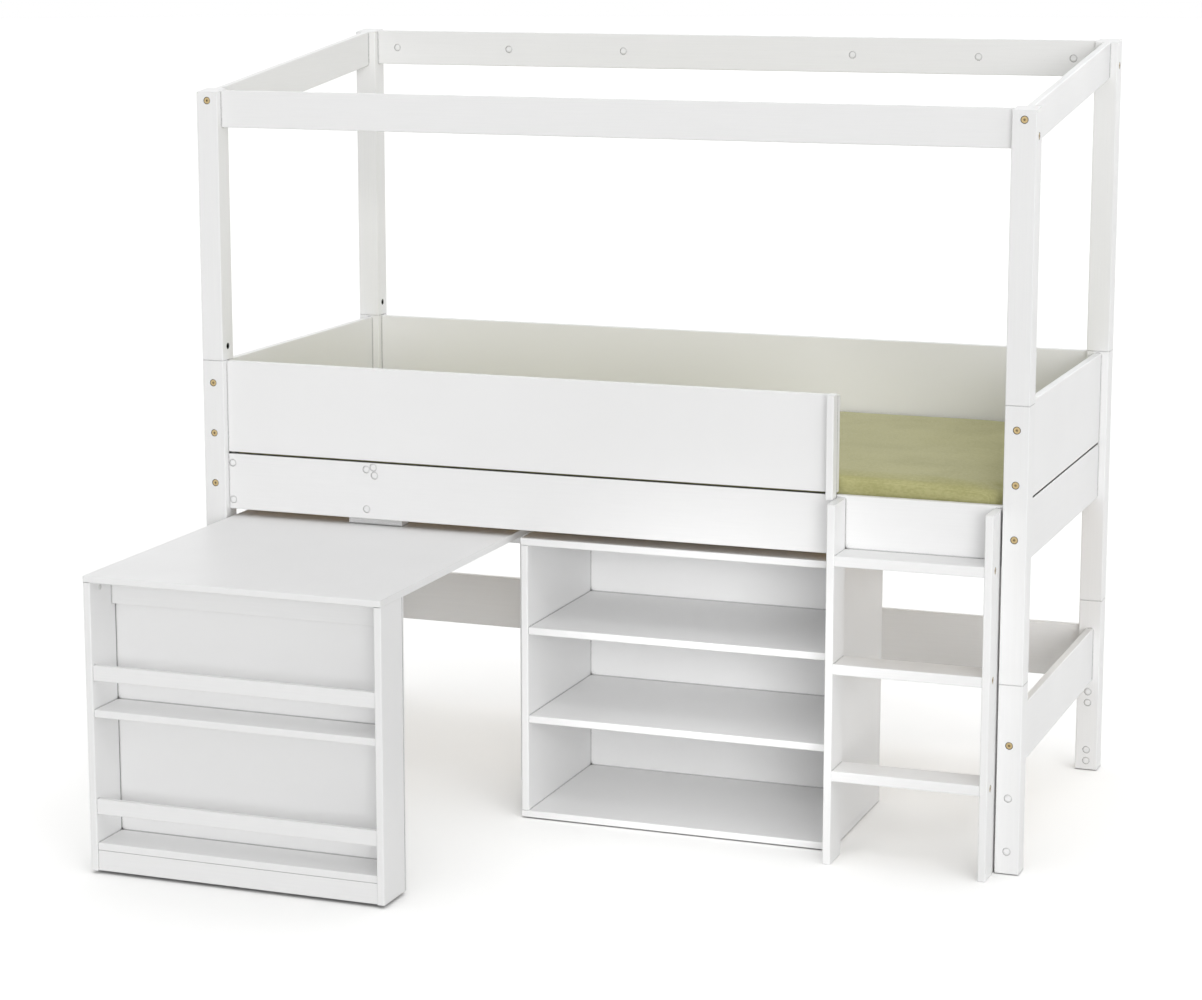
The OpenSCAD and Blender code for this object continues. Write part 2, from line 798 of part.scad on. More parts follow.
module bookcase_back() {
  color(white) in_bed()
    translate([bookcase_left + bookcase_t, bookcase_y + bookcase_d - bookcase_back_t,
               glide_h + bookcase_t])
      cube([bookcase_inner_w, bookcase_back_t, bookcase_side_h]);
}

module bookcase_shelves() {
  color(white) in_bed() for (z = shelf_zs)
    translate([bookcase_left + bookcase_t + shelf_side_gap, bookcase_y + shelf_recess, z])
      board_x([bookcase_inner_w - 2 * shelf_side_gap, shelf_d, bookcase_t]);
}

module shelf_pins() {
  color(steel) in_bed() pin_places() translate([-pin_l / 2, 0, 0]) rod_x(pin_r, pin_l);
}

// ---- fixings ----

module frame_bolts() {
  color(brass) in_bed() {
    for (side = SIDES, row = ROWS) at_post(side, row) {
      for (z = concat([low_mid], post_bolt_zs, [end_bolt_z(row)]))
        translate([post / 2, 0, z]) bolt();
      translate([0, post / 2, long_bolt_z(row)]) turned() bolt();
    }
    for (side = SIDES) {
      tread_bolt_places(side) bolt(through = stile_t);
      stile_bolt_places(side) bolt(stile_bolt_in, board_t);
    }
  }
}

// Every place of a barrel nut, from the end of its board
module nut_places() {
  for (side = SIDES, row = ROWS)
    end_bolt_places(side, row, concat([low_mid], post_bolt_zs, [end_bolt_z(row)]))
      children();
  for (row = ROWS) long_bolt_places(row) children();
}

module nuts_and_studs() {
  color(steel) in_bed() {
    nut_places() nut();
    for (side = SIDES, row = ROWS, z = [leg_h, joint_z])
      at_post(side, row) translate([post / 2, post / 2, z - stud_l / 2])
        cylinder(h = stud_l, r = stud_r);
  }
}

module dowels() {
  color(pine) in_bed() for (side = SIDES, row = ROWS) at_post(side, row)
    for (z = concat(row == BACK ? leg_dowel_zs : [],
                    side == RIGHT && row == FRONT ? dowel_zs(rail_z, rail_h) : post_dowel_zs))
      translate([post - dowel_l / 2, post / 2, z]) rod_x(dowel_r, dowel_l);
}

module cover_caps() {
  color(white) in_bed() {
    nut_places() nut_cap();
    back_canopy_cap_places() cap();
    front_rail_cap_places() cap();
    for (side = SIDES, row = ROWS) leg_cap_places(side, row) cap();
  }
}

module floor_glides() {
  color(rubber) in_bed() {
    for (side = SIDES, row = ROWS)
      at_post(side, row) translate([post / 2, post / 2, 0]) cylinder(h = glide_h, r = glide_r);
    for (x = [bookcase_left + 2 * glide_r, bookcase_right - 2 * glide_r],
         y = [bookcase_y + 2 * glide_r, bookcase_y + bookcase_d - 2 * glide_r])
      translate([x, y, 0]) cylinder(h = glide_h, r = glide_r);
  }
}

// ---- desk ----

module desk_top() {
  color(white) in_bed() translate([desk_left, desk_y, desk_top_z])
    board_x([desk_w, desk_d, desk_top_t]);
}

module stop_block() {
  color(white) in_bed()
    translate([desk_mid + stop_shift - stop_w / 2, stop_y, desk_top_z + desk_top_t])
      board_x([stop_w, stop_d, stop_h], fine_r);
}

module desk_side(side) {
  x = side == LEFT ? desk_left : desk_left + desk_w - desk_t;
  color(white) in_bed() translate([x, desk_y, desk_lift]) board_z([desk_t, rack_d, rack_h]);
}

module desk_back() {
  color(white) in_bed() translate([desk_left, desk_y + rack_d, desk_lift])
    cube([desk_w, rack_back_t, rack_h]);
}

// The rail under the worktop's front, and the one between the rear legs
module desk_rails() {
  color(white) in_bed() {
    translate([desk_left + desk_t, desk_y + rack_d - desk_t, desk_top_z - top_rail_h])
      board_x([rack_inner_w, desk_t, top_rail_h], fine_r);
    translate([desk_left + rear_leg_w, rear_y - desk_t, desk_top_z - cross_rail_h])
      board_x([desk_w - 2 * rear_leg_w, desk_t, cross_rail_h], fine_r);
  }
}

module desk_shelves() {
  color(white) in_bed() for (z = rack_shelf_zs)
    translate([desk_left + desk_t, desk_y + rack_recess, z])
      board_x([rack_inner_w, rack_d - rack_recess, desk_t]);
}

module desk_bars() {
  color(white) in_bed() for (z = rack_shelf_zs)
    translate([desk_left + desk_t, desk_y + rack_recess, z + desk_t + bar_rise])
      board_x([rack_inner_w, bar_t, bar_h]);
}

module desk_plinth() {
  color(white) in_bed() translate([desk_left + desk_t, desk_y + rack_recess, desk_lift])
    board_x([rack_inner_w, desk_t, castor_h - desk_lift], fine_r);
}

module desk_rear_legs() {
  color(white) in_bed() for (x = [desk_left, desk_left + desk_w - rear_leg_w])
    translate([x, rear_y - rear_leg_d, castor_h])
      board_z([rear_leg_w, rear_leg_d, desk_top_z - castor_h]);
}

// ---- castors ----

axle_over = 1; // how far an axle's riveted ends stand out from the cheeks
cheek_w = 22;
rivet_over = 1.5; // how much wider those ends are than the axle
rivet_r = axle_r + rivet_over;

module castor_fork() {
  difference() {
    union() {
      translate([-fork_w / 2, -plate_l / 2, castor_h - fork_t])
        cube([fork_w, plate_l, fork_t]);
      for (x = [-fork_w / 2, fork_w / 2 - fork_t]) {
        translate([x, -cheek_w / 2, wheel_r])
          cube([fork_t, cheek_w, castor_h - fork_t - wheel_r]);
        translate([x, 0, wheel_r]) rod_x(cheek_w / 2, fork_t);
      }
    }
    translate([-fork_w, 0, wheel_r]) rod_x(axle_r, 2 * fork_w);
  }
  translate([-fork_w / 2, 0, wheel_r]) rod_x(axle_r, fork_w);
  for (x = [-fork_w / 2 - axle_over, fork_w / 2])
    translate([x, 0, wheel_r]) rod_x(rivet_r, axle_over);
}

module castor_forks() {
  color(steel) in_bed() for (side = SIDES, row = ROWS)
    translate(concat(castor_at(side, row), [0])) castor_fork();
}

module wheel(side, row) {
  color(rubber) in_bed() translate(concat(castor_at(side, row), [wheel_r]))
    rotate([0, 90, 0]) rotate_extrude($fn = 96)
      translate([axle_r + axle_fit, -wheel_w / 2])
        rounded([wheel_r - axle_r - axle_fit, wheel_w], fine_r);
}

leg(LEFT, FRONT);  // leg_front_left
leg(RIGHT, FRONT);  // leg_front_right
leg(LEFT, BACK);  // leg_back_left
leg(RIGHT, BACK);  // leg_back_right
mid_post(LEFT, FRONT);  // post_front_left
mid_post(RIGHT, FRONT);  // post_front_right
mid_post(LEFT, BACK);  // post_back_left
mid_post(RIGHT, BACK);  // post_back_right
canopy_post(LEFT, FRONT);  // canopy_post_front_left
canopy_post(RIGHT, FRONT);  // canopy_post_front_right
canopy_post(LEFT, BACK);  // canopy_post_back_left
canopy_post(RIGHT, BACK);  // canopy_post_back_right
long_canopy_rail(FRONT);  // canopy_rail_front
long_canopy_rail(BACK);  // canopy_rail_back
end_canopy_rail(LEFT);  // canopy_rail_left
end_canopy_rail(RIGHT);  // canopy_rail_right
end_panel(LEFT);  // end_panel_left
end_panel(RIGHT);  // end_panel_right
end_rail(LEFT);  // end_rail_left
end_rail(RIGHT);  // end_rail_right
guard_board();
front_rail();
guard_batten();
back_panel();
back_rail();
low_rail_back();
low_end_rails();
slat_ledgers();
slats();
mattress();
stile(LEFT);  // ladder_stile_left
stile(RIGHT);  // ladder_stile_right
ladder_treads();
bookcase_panel(bookcase_top_z - bookcase_t);  // bookcase_top
bookcase_panel(glide_h);  // bookcase_bottom
bookcase_side(LEFT);  // bookcase_side_left
bookcase_side(RIGHT);  // bookcase_side_right
bookcase_back();
bookcase_shelves();
shelf_pins();
frame_bolts();
nuts_and_studs();
dowels();
cover_caps();
floor_glides();
desk_top();
stop_block();
desk_side(LEFT);  // desk_side_left
desk_side(RIGHT);  // desk_side_right
desk_back();
desk_shelves();
desk_bars();
desk_plinth();
desk_rails();
desk_rear_legs();
castor_forks();
wheel(LEFT, FRONT);  // wheel_front_left
wheel(RIGHT, FRONT);  // wheel_front_right
wheel(LEFT, BACK);  // wheel_rear_left
wheel(RIGHT, BACK);  // wheel_rear_right
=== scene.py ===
"""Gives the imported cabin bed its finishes: sprayed white lacquer on boards and posts, planed
pine slats, yellow-plated bolts, zinc-plated and black-oxide steel, moulded caps and covers, a
cotton-covered mattress, and a pale studio with the camera at the photograph's viewing angle."""

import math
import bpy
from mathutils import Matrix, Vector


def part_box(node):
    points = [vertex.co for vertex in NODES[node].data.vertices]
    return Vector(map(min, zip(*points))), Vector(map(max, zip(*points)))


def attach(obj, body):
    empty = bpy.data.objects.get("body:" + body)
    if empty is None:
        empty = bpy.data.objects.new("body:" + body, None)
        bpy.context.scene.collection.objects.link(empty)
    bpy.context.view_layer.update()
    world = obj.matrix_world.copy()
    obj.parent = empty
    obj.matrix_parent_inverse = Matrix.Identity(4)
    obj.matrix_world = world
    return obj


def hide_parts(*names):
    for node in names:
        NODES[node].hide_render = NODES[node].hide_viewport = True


bl_info = {
    "name": "Cabin bed finishes",
    "version": (1, 0, 0),
    "blender": (4, 5, 0),
    "location": "3D View > Sidebar > Cabin bed",
    "description": "Finishes, mattress, lights and camera for the packed cabin bed",
    "category": "Object",
}

import bmesh
import bpy
from bpy.props import FloatProperty, FloatVectorProperty, IntProperty, PointerProperty
from mathutils import Euler, Matrix, Vector, noise

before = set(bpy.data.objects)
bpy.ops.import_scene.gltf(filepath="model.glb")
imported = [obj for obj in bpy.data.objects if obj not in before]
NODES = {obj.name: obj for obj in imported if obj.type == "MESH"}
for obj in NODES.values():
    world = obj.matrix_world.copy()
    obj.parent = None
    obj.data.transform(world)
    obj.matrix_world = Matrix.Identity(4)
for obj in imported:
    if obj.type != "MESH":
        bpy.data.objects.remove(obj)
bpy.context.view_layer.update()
MM = 0.001

# Which way each lacquered solid-wood piece was cut from its plank
GRAIN_UP = [
    "leg_front_left", "leg_front_right", "leg_back_left", "leg_back_right",
    "post_front_left", "post_front_right", "post_back_left", "post_back_right",
    "canopy_post_front_left", "canopy_post_front_right",
    "canopy_post_back_left", "canopy_post_back_right",
    "guard_batten", "desk_rear_legs",
]
# Upright too, with light behind the joints
STILES = ["ladder_stile_left", "ladder_stile_right"]
GRAIN_ALONG = [
    "canopy_rail_front", "canopy_rail_back", "front_rail", "back_rail", "low_rail_back",
    "ladder_treads", "desk_bars", "desk_plinth", "desk_rails", "stop_block",
]
GRAIN_ACROSS = [
    "canopy_rail_left", "canopy_rail_right", "end_rail_left", "end_rail_right",
    "low_end_rails",
]
FIBREBOARD = [
    "guard_board", "back_panel", "end_panel_left", "end_panel_right",
    "bookcase_top", "bookcase_bottom", "bookcase_side_left", "bookcase_side_right",
    "bookcase_shelves", "desk_top", "desk_side_left", "desk_side_right", "desk_shelves",
]
THIN_BACKS = ["bookcase_back", "desk_back"]

# The lamps: their direction round from the front to the right, their height above the
# floor and their spread in degrees, and their strength
LAMPS = {
    "key": (49, 48, 14, 0.22),
    "front": (25, 6, 25, 1.2),
    "right": (75, 15, 50, 0.2),
    "behind": (170, 8, 40, 0.5),
    "overhead": (0, 90, 160, 2.03),
}
# Soft boxes with a grid, in front of the bed's lower part: their place and the point that they
# light, in metres, and their power in watts
FILLS = {
    "bookcase": ((0.3, -1.1, 0.8), (0.2, 0.1, 0.16), 0.74),
    "ladder": ((1.2, -1.2, 0.9), (0.6, -0.15, 0.46), 0.26),
}
# The soft boxes' width and height in metres, and their spread in degrees
FILL_SIZE = (0.5, 0.4)
FILL_SPREAD = 60
# The floor reaches this far round the bed, in metres
FLOOR_RADIUS = 60.0
# The floor lies this much below the bed's feet, so that the two faces don't mix
FLOOR_GAP = 0.2 * MM
# How far the droop of the mattress's corners reaches along and across it, in metres
DROOP_ALONG, DROOP_ACROSS = 0.12, 0.25
# Height of the CAD mattress's crown over its edges
CAD_CROWN = 5 * MM
# Height of the slight unevenness of the mattress's top
UNEVEN = 2.5 * MM
# Radius of the mattress's corners, seen from above, and the one that its cover is held to
CORNER, HELD_CORNER = 72 * MM, 71 * MM
# The part of the mattress that rests on the slats, and is held still
RESTING = 25 * MM
WHEELS = ["wheel_front_left", "wheel_front_right", "wheel_rear_left", "wheel_rear_right"]


def linear(hex_colour):
    """An sRGB colour such as "e9e9e8" as linear red, green, blue and alpha."""
    parts = [int(hex_colour[i:i + 2], 16) / 255 for i in (0, 2, 4)]
    return [c / 12.92 if c <= 0.04045 else ((c + 0.055) / 1.055) ** 2.4 for c in parts] + [1.0]


def colour(title, about, hex_colour):
    return FloatVectorProperty(name=title, description=about, subtype="COLOR", size=4,
                               min=0, max=1, default=linear(hex_colour))


# ---- settings ----

class LacquerSettings(bpy.types.PropertyGroup):
    white: colour("White", "Colour of the sprayed lacquer", "f0f0f0")
    grey: colour("Shade", "The lacquer where it lies a little thinner", "ececec")
    # The dark, mixed in deep in joints and holes, is painted shade
    dark: colour("Dark", "Colour deep in joints and holes", "1c1a18")
    roughness: FloatProperty(name="Roughness", description="Of the satin lacquer",
                             default=0.42, min=0, max=1)
    peel: FloatProperty(name="Orange peel", description="Width of one dimple of the spray",
                        default=2.5 * MM, min=0.0005, unit="LENGTH")
    grain: FloatProperty(name="Grain", description="Width of the wood grain under the lacquer",
                         default=3 * MM, min=0.0005, unit="LENGTH")
    cloud: FloatProperty(name="Cloud", description="Width of the soft changes in its tone",
                         default=220 * MM, min=0.001, unit="LENGTH")
    edge: FloatProperty(name="Edge", description="Radius sanded on the sawn edges",
                        default=1.5 * MM, min=0, unit="LENGTH")
    # How far the painted shade of joints and holes reaches
    joint: FloatProperty(name="Joint", description="How far the dark of joints and holes "
                         "reaches", default=9 * MM, min=0.0005, unit="LENGTH")


class TimberSettings(bpy.types.PropertyGroup):
    early: colour("Early wood", "Pale wood between the rings", "d9b98c")
    late: colour("Late wood", "Darker lines of the rings", "b98c58")
    ring: FloatProperty(name="Ring", description="Distance between the rings",
                        default=7 * MM, min=0.001, unit="LENGTH")
    fibre: FloatProperty(name="Fibre", description="Width of the wood's fibres",
                         default=1.2 * MM, min=0.0002, unit="LENGTH")
    edge: FloatProperty(name="Edge", description="Radius planed on the edges",
                        default=1.5 * MM, min=0, unit="LENGTH")


class HardwareSettings(bpy.types.PropertyGroup):
    brass: colour("Yellow plating", "Colour of the bolts", "c6b084")
    zinc: colour("Zinc", "Colour of nuts, studs, pins and castor forks", "b4b8bc")
    cap: colour("Caps", "Colour of the moulded caps", "f0f0f0")
    cover: colour("Covers", "Colour of the desk's connector covers", "d8d8d6")
    cover_r: FloatProperty(name="Cover's radius", description="Radius of a connector cover",
                           default=6 * MM, min=0.002, unit="LENGTH")
    cover_in: FloatProperty(name="Cover's depth", description="Its distance from the desk's "
                            "front", default=46 * MM, min=0.01, unit="LENGTH")
    cover_down: FloatProperty(name="Cover's drop", description="Its distance from the "
                              "worktop", default=19 * MM, min=0.008, unit="LENGTH")
    oxide: colour("Black oxide", "Colour of the lock screws", "211f1e")
    lock_r: FloatProperty(name="Lock's radius", description="Radius of a lock screw",
                          default=7.8 * MM, min=0.002, unit="LENGTH")
    lock_up: FloatProperty(name="Lock's height", description="Its height above the post's "
                           "foot", default=33.2 * MM, min=0.008, unit="LENGTH")
    lock_in: FloatProperty(name="Lock's depth", description="How far it lies below the "
                           "post's face", default=3 * MM, min=0.002, unit="LENGTH")
    rubber: colour("Tyre", "Colour of the castors' tyres", "3a3b3d")
    hub: colour("Hub", "Colour of the castors' hubs", "8c8f92")
    hub_r: FloatProperty(name="Hub's radius", description="Radius of a castor's hub",
                         default=14 * MM, min=0.002, unit="LENGTH")
    glide: colour("Glide", "Colour of the glides under the legs", "55565a")


class MattressSettings(bpy.types.PropertyGroup):
    cover: colour("Cover", "Colour of the cotton cover", "b9b684")
    shade: colour("Cover's shade", "Colour between its threads", "a3a06c")
    thread: FloatProperty(name="Thread", description="Distance between the cover's threads",
                          default=1.6 * MM, min=0.0002, unit="LENGTH")
    slub: FloatProperty(name="Slub", description="Width of the thicker places in the threads",
                        default=4 * MM, min=0.0005, unit="LENGTH")
    cloud: FloatProperty(name="Cloud", description="Width of the soft changes in its tone",
                         default=120 * MM, min=0.001, unit="LENGTH")
    roll: FloatProperty(name="Upper edge", description="Radius of the soft upper edge",
                        default=11 * MM, min=0.005, unit="LENGTH")
    foot: FloatProperty(name="Lower edge", description="Radius of the lower edge",
                        default=22 * MM, min=0.002, unit="LENGTH")
    waist: FloatProperty(name="Waist", description="How far the sides are drawn in",
                         default=3 * MM, min=0, unit="LENGTH")
    crown: FloatProperty(name="Crown", description="Height of the middle over the edges",
                         default=3 * MM, min=0, unit="LENGTH")
    droop: FloatProperty(name="Droop", description="How far the corners hang below the edges",
                         default=24 * MM, min=0, unit="LENGTH")
    puff: FloatProperty(name="Puff", description="How far the filling may push the cover out",
                        default=5 * MM, min=0, unit="LENGTH")
    cell: FloatProperty(name="Cell", description="Size of the faces that the cover is "
                        "simulated with", default=9 * MM, min=0.004, unit="LENGTH")
    frames: IntProperty(name="Frames", description="Length of the cover's simulation",
                        default=14, min=2)


class StageSettings(bpy.types.PropertyGroup):
    place: FloatVectorProperty(name="Camera", description="Where the camera stands",
                               subtype="TRANSLATION", default=(2.4507, -6.6859, 2.1758))
    yaw: FloatProperty(name="Turn", description="Camera's turn to the left",
                       subtype="ANGLE", default=math.radians(20.38))
    pitch: FloatProperty(name="Tilt", description="Camera's tilt, up is positive",
                         subtype="ANGLE", default=math.radians(-10.1))
    lens: FloatProperty(name="Lens", description="Focal length on a 36 mm wide frame",
                        default=89.86, min=10)
    shift: FloatProperty(name="Shift", description="Lens shift that keeps the posts upright",
                         default=-0.04)
    floor: colour("Floor", "Colour of the studio floor", "f2f2f1")
    glow: FloatProperty(name="Floor's glow", description="Light that the camera sees in the "
                        "floor away from the bed", default=0.42, min=0)
    contact: FloatProperty(name="Contact shadow", description="How far from the bed the "
                           "floor's glow fades", default=0.7, min=0.01, unit="LENGTH")
    light: FloatProperty(name="Light", description="Strength of all the lamps together",
                         default=1.0, min=0)


# ---- materials ----

# The colour sockets of a mix node by number, because its names stand for several types
MIX_A, MIX_B, MIX_OUT = 6, 7, 2
# How far a hole or slot is looked into for its painted shade
HOLE_DEPTH = 30 * MM
# Share of a joint's painted shade that is left where light comes through it
OPEN_JOINT = 0.4
# Widths of the marks on plated steel, of the pits in moulded plastic and of dust on a tyre
MARK_SIZE, PIT_SIZE, DUST_SIZE = 1.5 * MM, 0.8 * MM, 2 * MM


def add(tree, kind, inputs=None, **settings):
    """Adds a node, with values or links for its inputs, which go by name or by number."""
    made = tree.nodes.new(kind)
    for name, value in settings.items():
        setattr(made, name, value)
    for name, value in (inputs or {}).items():
        if isinstance(value, bpy.types.NodeSocket):
            tree.links.new(value, made.inputs[name])
        else:
            made.inputs[name].default_value = value
    return made


def new_material(name):
    """An empty node material and its output node."""
    material = bpy.data.materials.new(name)
    material.use_nodes = True
    material.node_tree.nodes.clear()
    return material, add(material.node_tree, "ShaderNodeOutputMaterial")


def stretched(tree, size, along=None, stretch=1.0):
    """Object coordinates counted in cells of one size, drawn out along one axis."""
    scale = [1 / size] * 3
    if along is not None:
        scale[along] /= stretch
    place = add(tree, "ShaderNodeTexCoord").outputs["Object"]
    return add(tree, "ShaderNodeMapping", {"Vector": place, "Scale": scale}).outputs["Vector"]


def looked_at(tree):
    """1 where the camera sees a surface, also in a reflection or through a clear piece."""
    path = add(tree, "ShaderNodeLightPath").outputs
    seen = add(tree, "ShaderNodeMath", {0: path["Is Camera Ray"], 1: path["Is Glossy Ray"]},
               operation="MAXIMUM").outputs[0]
    return add(tree, "ShaderNodeMath", {0: seen, 1: path["Is Transmission Ray"]},
               operation="MAXIMUM").outputs[0]


def painted_shade_mask(tree, reach, depth=HOLE_DEPTH):
    """1 deep in holes and slots, about a half in the corner between two boards, 0 on open
    faces: where the light doesn't reach. A mask for painted shade."""
    corner = add(tree, "ShaderNodeAmbientOcclusion", {"Distance": reach}, samples=8)
    share = add(tree, "ShaderNodeMapRange", {"Value": corner.outputs["AO"], "From Min": 0.62,
                                             "From Max": 0.25}).outputs[0]
    share = add(tree, "ShaderNodeMath", {0: share, 1: 0.6}, operation="POWER").outputs[0]
    hole = add(tree, "ShaderNodeAmbientOcclusion", {"Distance": depth}, samples=6)
    deep = add(tree, "ShaderNodeMapRange", {"Value": hole.outputs["AO"], "From Min": 0.3,
                                            "From Max": 0.12}).outputs[0]
    return add(tree, "ShaderNodeMath", {0: share, 1: deep}, operation="MAXIMUM").outputs[0]


def rim_shade_mask(tree, width):
    """1 along a piece's edges, within about the width, and 0 on its flat faces."""
    soft = add(tree, "ShaderNodeBevel", {"Radius": width}, samples=6).outputs["Normal"]
    true = add(tree, "ShaderNodeNewGeometry").outputs["True Normal"]
    turn = add(tree, "ShaderNodeVectorMath", {0: soft, 1: true}, operation="DOT_PRODUCT")
    return add(tree, "ShaderNodeMapRange", {"Value": turn.outputs["Value"],
                                            "From Min": 0.995, "From Max": 0.93}).outputs[0]


def lacquer(name, grain_axis=None, open_joints=False):
    """Satin white lacquer, sprayed: a faint orange peel breaks up its soft highlights, and on
    solid wood the grain still telegraphs through it along the piece. The lacquer doesn't
    close the joints between the boards. Shade in them, in corners and deep in holes is
    painted into the colour, as fine dark lines drawn a little wider than they are. Open
    joints let light through from behind, so less shade is painted there."""
    look = bpy.context.scene.cabin_lacquer
    material, output = new_material(name)
    tree = material.node_tree
    peel = add(tree, "ShaderNodeTexNoise", {"Vector": stretched(tree, look.peel),
                                            "Scale": 1.0, "Detail": 1.0}).outputs["Fac"]
    cloud = add(tree, "ShaderNodeTexNoise", {"Vector": stretched(tree, look.cloud),
                                             "Scale": 1.0, "Detail": 2.0}).outputs["Fac"]
    edge = add(tree, "ShaderNodeBevel", {"Radius": look.edge}, samples=4).outputs["Normal"]
    relief = add(tree, "ShaderNodeBump", {"Height": peel, "Normal": edge,
                                          "Strength": 0.25, "Distance": 0.06 * MM})
    tone = add(tree, "ShaderNodeMapRange", {"Value": cloud, "From Min": 0.3, "From Max": 0.7,
                                            "To Max": 0.3}).outputs[0]
    if grain_axis is not None:
        cells = stretched(tree, look.grain, grain_axis, 45)
        grain = add(tree, "ShaderNodeTexNoise", {"Vector": cells, "Scale": 1.0,
                                                 "Detail": 3.0}).outputs["Fac"]
        relief = add(tree, "ShaderNodeBump", {"Height": grain, "Strength": 0.35,
                                              "Normal": relief.outputs["Normal"],
                                              "Distance": 0.12 * MM})
        lines = add(tree, "ShaderNodeMapRange", {"Value": grain, "From Min": 0.35,
                                                 "From Max": 0.65, "To Max": 0.4}).outputs[0]
        tone = add(tree, "ShaderNodeMath", {0: tone, 1: lines}, operation="ADD").outputs[0]
    paint = add(tree, "ShaderNodeMix", {"Factor": tone, MIX_A: look.white, MIX_B: look.grey},
                data_type="RGBA").outputs[MIX_OUT]
    reach, depth = look.joint, HOLE_DEPTH
    if open_joints:
        reach = depth = look.joint * OPEN_JOINT
    # Painted shade: the colour darkens in corners between boards and deep in holes
    paint = add(tree, "ShaderNodeMix", {"Factor": painted_shade_mask(tree, reach, depth), MIX_A: paint,
                                        MIX_B: look.dark}, data_type="RGBA").outputs[MIX_OUT]
    gloss = add(tree, "ShaderNodeMapRange", {
        "Value": cloud, "From Min": 0.3, "From Max": 0.7, "To Min": look.roughness - 0.04,
        "To Max": look.roughness + 0.04}).outputs[0]
    shader = add(tree, "ShaderNodeBsdfPrincipled", {
        "Base Color": paint, "Roughness": gloss, "IOR": 1.48,
        "Normal": relief.outputs["Normal"]})
    tree.links.new(shader.outputs["BSDF"], output.inputs["Surface"])
    return material


def planed_pine(name, grain_axis):
    """Planed, unfinished pine: pale early wood with darker late-wood lines that wander along
    the slat, and a dry surface."""
    look = bpy.context.scene.cabin_timber
    material, output = new_material(name)
    tree = material.node_tree
    place = stretched(tree, look.ring, grain_axis, 30)
    rings = add(tree, "ShaderNodeTexWave", {"Vector": place, "Scale": 0.35, "Distortion": 5.0,
                                            "Detail": 2.0, "Detail Scale": 0.6},
                bands_direction="DIAGONAL").outputs["Fac"]
    fibre = add(tree, "ShaderNodeTexNoise", {
        "Vector": stretched(tree, look.fibre, grain_axis, 40), "Scale": 1.0,
        "Detail": 3.0}).outputs["Fac"]
    streaks = add(tree, "ShaderNodeMapRange", {"Value": fibre, "From Min": 0.3, "From Max": 0.7,
                                               "To Min": -0.2, "To Max": 0.2}).outputs[0]
    tone = add(tree, "ShaderNodeMath", {0: rings, 1: streaks}, operation="ADD").outputs[0]
    wood = add(tree, "ShaderNodeMix", {"Factor": tone, MIX_A: look.early, MIX_B: look.late},
               data_type="RGBA").outputs[MIX_OUT]
    dry = add(tree, "ShaderNodeMapRange", {"Value": fibre, "From Min": 0.3, "From Max": 0.7,
                                           "To Min": 0.6, "To Max": 0.75}).outputs[0]
    edge = add(tree, "ShaderNodeBevel", {"Radius": look.edge}, samples=4).outputs["Normal"]
    relief = add(tree, "ShaderNodeBump", {"Height": fibre, "Normal": edge, "Strength": 0.4,
                                          "Distance": 0.15 * MM})
    shader = add(tree, "ShaderNodeBsdfPrincipled", {
        "Base Color": wood, "Roughness": dry, "IOR": 1.5, "Normal": relief.outputs["Normal"]})
    tree.links.new(shader.outputs["BSDF"], output.inputs["Surface"])
    return material


def plated(name, base, roughness, dark):
    """Barrel-plated steel: metallic, with fine tumbling marks that scatter its highlight, and
    darkened in its socket and deep in a hole with painted shade."""
    material, output = new_material(name)
    tree = material.node_tree
    marks = add(tree, "ShaderNodeTexNoise", {"Vector": stretched(tree, MARK_SIZE),
                                             "Scale": 1.0, "Detail": 3.0}).outputs["Fac"]
    dull = [c * 0.8 for c in base[:3]] + [1.0]
    relief = add(tree, "ShaderNodeBump", {"Height": marks, "Strength": 0.3,
                                          "Distance": 0.05 * MM})
    worn = add(tree, "ShaderNodeMapRange", {"Value": marks, "From Min": 0.35, "From Max": 0.65,
                                            "To Max": 0.6}).outputs[0]
    metal = add(tree, "ShaderNodeMix", {"Factor": worn, MIX_A: base, MIX_B: dull},
                data_type="RGBA").outputs[MIX_OUT]
    # Painted shade: near-black in the socket and deep in a hole
    socket_shade = [c * 0.12 for c in base[:3]] + [1.0]
    metal = add(tree, "ShaderNodeMix", {"Factor": painted_shade_mask(tree, dark), MIX_A: metal,
                                        MIX_B: socket_shade}, data_type="RGBA").outputs[MIX_OUT]
    scuffs = add(tree, "ShaderNodeMapRange", {
        "Value": marks, "From Min": 0.3, "From Max": 0.7, "To Min": roughness - 0.06,
        "To Max": roughness + 0.08}).outputs[0]
    shader = add(tree, "ShaderNodeBsdfPrincipled", {
        "Base Color": metal, "Metallic": 1.0, "Roughness": scuffs,
        "Normal": relief.outputs["Normal"]})
    tree.links.new(shader.outputs["BSDF"], output.inputs["Surface"])
    return material


